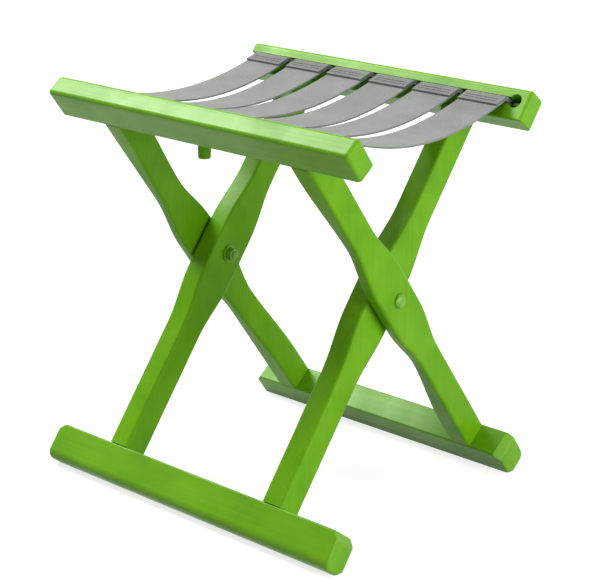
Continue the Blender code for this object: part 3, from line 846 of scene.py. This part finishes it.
def strap_mesh(name, left, slack, twist):
    """One strap as a cloth surface along the path, a little cupped, then given its thickness."""
    mesh = bpy.data.meshes.new(name)
    points, flat, faces = [], [], []
    row = STRAP_CELLS + 1
    for place, run in zip(path, path_run):
        free = max(0.0, 1 - (place.x / strap_reach) ** 2) ** 2
        for cell in range(row):
            share = 2 * cell / STRAP_CELLS - 1
            drop = free * (slack + STRAP_CUP * share ** 2 + twist * share)
            points.append((left + STRAP_WIDTH * cell / STRAP_CELLS, place.x, place.y - drop))
            flat.append((STRAP_WIDTH * cell / STRAP_CELLS, run))
    for step in range(len(path) - 1):
        for cell in range(STRAP_CELLS):
            first = step * row + cell
            faces.append((first, first + 1, first + row + 1, first + row))
    mesh.from_pydata(points, [], faces)
    layer = mesh.uv_layers.new(name="strap_metres")
    for corner in mesh.loops:
        layer.data[corner.index].uv = flat[corner.vertex_index]
    strap = bpy.data.objects.new(name, mesh)
    bpy.context.scene.collection.objects.link(strap)
    take_up(strap)
    body = strap.modifiers.new("thickness", "SOLIDIFY")
    body.thickness = STRAP_THICKNESS
    body.offset = 0.0
    body.use_even_offset = True
    bpy.ops.object.modifier_apply(modifier=body.name)
    bpy.ops.object.shade_smooth_by_angle(angle=math.radians(STRAP_CORNER))
    strap.data.materials.append(strap_cloth)
    return strap


def fit_soft(piece):
    """Puts the place of a piece of webbing or thread into its mesh."""
    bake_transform(piece)


straps = []
for number, (slack, twist) in enumerate(STRAP_SLACK_AND_TWIST, 1):
    node = "seat_strap_%d" % number
    strap = strap_mesh(node + "_webbing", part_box(node)[0].x, slack, twist)
    fit_soft(strap)
    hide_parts(node)
    straps.append((node, strap))

# ---- Stitching ----------------------------------------------------------------------------------
# Two rows of dark-grey thread hold down the turned-back tail at each end of a strap. Every stitch lies
# on the webbing and dips into it at both ends.
STITCH_LENGTH = 0.0018
STITCH_RADIUS = 0.00032
STITCH_PITCH = 0.0027
STITCH_MARGIN = 0.0032
STITCH_ROWS = (0.0040, 0.0075)
STITCH_SIDES = 6
STITCH_TAPERS = (0.8, 0.5)
STITCH_STANDS = 0.4
THREAD_DARK = (0.050, 0.054, 0.050, 1.0)
THREAD_GREY = (0.125, 0.130, 0.125, 1.0)
THREAD_TONES = ((0.35, THREAD_DARK), (0.65, THREAD_GREY))
THREAD_TWIST = 2200.0
THREAD_MARKS = (0.5, 0.0001)
THREAD_ROUGHNESS = 0.7


def sewing_thread(name):
    """Twisted thread: dark and light turns along the stitch."""
    finish, tree, shader = new_finish(name)
    twist = add_noise(tree, on_object(tree), scale=THREAD_TWIST, detail=2.0)
    set_inputs(tree, shader, {"Base Color": add_ramp(tree, twist, THREAD_TONES),
                              "Normal": add_bump(tree, twist, THREAD_MARKS),
                              "Roughness": THREAD_ROUGHNESS})
    return finish


def stitch_row():
    """One row of stitches along X about the origin."""
    stitch = round_blank("stitch_row", (-STITCH_LENGTH / 2, 0, 0), (STITCH_LENGTH / 2, 0, 0),
                         STITCH_RADIUS, STITCH_SIDES)
    for side in (-1, 1):
        draw_out(stitch, (side, 0, 0), [(STITCH_RADIUS, (1.0, taper, taper)) for taper in STITCH_TAPERS])
        mesh = open_for_work(stitch, "VERT")
        for corner in mesh.verts:
            past = abs(corner.co.x) - STITCH_LENGTH / 2
            if side * corner.co.x > 0 and past > FIT_GAP / 10:
                corner.co.z -= past
        bmesh.update_edit_mesh(stitch.data)
        bpy.ops.object.mode_set(mode="OBJECT")
    count = int((STRAP_WIDTH - 2 * STITCH_MARGIN) / STITCH_PITCH) + 1
    row = stitch.modifiers.new("row", "ARRAY")
    row.count = count
    row.use_relative_offset = False
    row.use_constant_offset = True
    row.constant_offset_displace = (STITCH_PITCH, 0.0, 0.0)
    take_up(stitch)
    bpy.ops.object.modifier_apply(modifier=row.name)
    stitch.location.x = -STITCH_PITCH * (count - 1) / 2
    apply_place(stitch)
    turn_faces_out(stitch)
    return stitch


thread = sewing_thread("dark_sewing_thread")
row = stitch_row()
row.data.materials.append(thread)
for node, strap in straps:
    low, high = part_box(node)
    rows = []
    for end in (1, -1):
        for run in STITCH_ROWS:
            y = strap_front[0].x + run
            slope = band_slope(y)
            stands = STRAP_THICKNESS / 2 + STITCH_RADIUS * STITCH_STANDS
            on_top = tail_point(y) + Vector((-slope, 1.0)).normalized() * stands
            sewn = copy_of(row, node + "_stitching")
            sewn.location = ((low.x + high.x) / 2, end * on_top.x, on_top.y)
            sewn.rotation_euler.x = end * math.atan(slope)
            apply_place(sewn)
            rows.append(sewn)
    bpy.ops.object.select_all(action="DESELECT")
    for sewn in rows:
        sewn.select_set(True)
    bpy.context.view_layer.objects.active = rows[0]
    bpy.ops.object.join()
    stitching = rows[0]
    stitching.name = node + "_stitching"
    fit_soft(stitching)
bpy.data.objects.remove(row, do_unlink=True)

# ---- Floor and light ----------------------------------------------------------------------------
# A plain white studio floor that turns up into a round wall and keeps the stool's shadow. A softbox stands
# high on the left, a larger one hangs overhead, a soft lamp fills from the right, and the room is dim.
FLOOR_RADIUS = 3.4
FLOOR_BEND = 0.5
WALL_HEIGHT = 2.2
FLOOR_SIDES, BEND_RINGS, FLOOR_CORNER = 96, 8, 60.0
FLOOR_COLOUR = (0.40, 0.40, 0.40, 1.0)
WHITE = (1.0, 1.0, 1.0)
WARM_WHITE = (1.0, 0.99, 0.96)
GLOW = (0.78, 1.0)
GLOW_RISES = (0.30, 1.6)
ROOM_LIGHT = 0.17
LAMP_AIM = Vector((0.0, 0.0, 0.22))


def seen_directly(tree):
    """1 for what the camera sees itself, in a mirror or through glass, and 0 for light on the stool."""
    ray = add_node(tree, "LightPath", {}).outputs
    seen = add_math(tree, "ADD", ray["Is Camera Ray"], ray["Is Glossy Ray"])
    return add_math(tree, "ADD", seen, ray["Is Transmission Ray"], use_clamp=True)


def studio_white(name):
    """Matt white that is lifted to a white background where the lamps don't reach."""
    finish, tree, shader = new_finish(name)
    tree.nodes.remove(shader)
    away = add_node(tree, "VectorMath", {0: on_object(tree)}, operation="LENGTH").outputs["Value"]
    lift = add_range(tree, away, GLOW_RISES, GLOW)
    matt = add_node(tree, "BsdfDiffuse", {"Color": FLOOR_COLOUR})
    glow = add_node(tree, "Emission", {"Strength": add_math(tree, "MULTIPLY", seen_directly(tree), lift)})
    lit = add_node(tree, "AddShader", {0: matt.outputs[0], 1: glow.outputs[0]})
    tree.links.new(lit.outputs[0], tree.nodes["Material Output"].inputs["Surface"])
    return finish


bpy.ops.object.select_all(action="DESELECT")
bpy.ops.mesh.primitive_circle_add(vertices=FLOOR_SIDES, radius=FLOOR_RADIUS - FLOOR_BEND, fill_type="NGON")
floor = named_blank("studio_floor")
turns = [math.pi / 2 * i / BEND_RINGS for i in range(BEND_RINGS + 1)]
rim = [(FLOOR_RADIUS - FLOOR_BEND + FLOOR_BEND * math.sin(turn), FLOOR_BEND * (1 - math.cos(turn)))
       for turn in turns] + [(FLOOR_RADIUS, WALL_HEIGHT)]
open_for_work(floor, "EDGE")
bpy.ops.mesh.select_all(action="SELECT")
bpy.ops.mesh.region_to_loop()
for (inner, low), (outer, high) in zip(rim, rim[1:]):
    bpy.ops.mesh.extrude_edges_move(TRANSFORM_OT_translate={"value": (0.0, 0.0, high - low)})
    bpy.ops.transform.resize(value=(outer / inner, outer / inner, 1.0), center_override=(0.0, 0.0, high))
bpy.ops.object.mode_set(mode="OBJECT")
floor.data.materials.append(studio_white("white_studio_floor"))
smooth_off(floor, FLOOR_CORNER)

world = bpy.data.worlds.new("dim_room")
bpy.context.scene.world = world
world.use_nodes = True
room = world.node_tree.nodes["Background"]
set_inputs(world.node_tree, room, {"Color": (*WHITE, 1.0), "Strength": ROOM_LIGHT})


def soft_lamp(name, place, width, power, tint):
    """A square softbox turned to the stool."""
    lamp = bpy.data.lights.new(name, "AREA")
    lamp.shape = "SQUARE"
    lamp.size = width
    lamp.energy = power
    lamp.color = tint
    holder = bpy.data.objects.new(name, lamp)
    bpy.context.scene.collection.objects.link(holder)
    holder.location = place
    holder.rotation_euler = (LAMP_AIM - Vector(place)).to_track_quat("-Z", "Y").to_euler()


soft_lamp("key_softbox", place=(-1.42, -0.38, 1.87), width=0.84, power=55.0, tint=WARM_WHITE)
soft_lamp("overhead_softbox", place=(0.0, -0.1, 1.9), width=1.6, power=14.0, tint=WHITE)
soft_lamp("right_fill", place=(1.40, 0.10, 0.45), width=1.0, power=17.5, tint=WHITE)

# ---- Camera -------------------------------------------------------------------------------------
# Set up as the photograph was taken: from the right of the front, a little above the seat, through a
# long lens, tipped very slightly.
AZIMUTH, ELEVATION, ROLL = math.radians(41.352), math.radians(18.078), 0.01375
DISTANCE = 1.47858
LENS_PIXELS, FRAME_PIXELS, SENSOR = 1784.6, 600.0, 36.0
AIM = Vector((0.005285, 0.0, 0.160875))

back = Vector((math.sin(AZIMUTH) * math.cos(ELEVATION), -math.cos(AZIMUTH) * math.cos(ELEVATION),
               math.sin(ELEVATION)))
level = Vector((math.cos(AZIMUTH), math.sin(AZIMUTH), 0.0))
upright = back.cross(level)
right = level * math.cos(ROLL) + upright * math.sin(ROLL)
up = upright * math.cos(ROLL) - level * math.sin(ROLL)
lens = bpy.data.cameras.new("studio_camera")
lens.sensor_fit = "HORIZONTAL"
lens.sensor_width = SENSOR
lens.lens = LENS_PIXELS / FRAME_PIXELS * SENSOR
camera = bpy.data.objects.new("studio_camera", lens)
bpy.context.scene.collection.objects.link(camera)
camera_turn = Matrix((right, up, back)).transposed().to_4x4()
camera.matrix_world = Matrix.Translation(AIM + back * DISTANCE) @ camera_turn
bpy.context.scene.camera = camera
bpy.context.scene.view_settings.view_transform = "Standard"
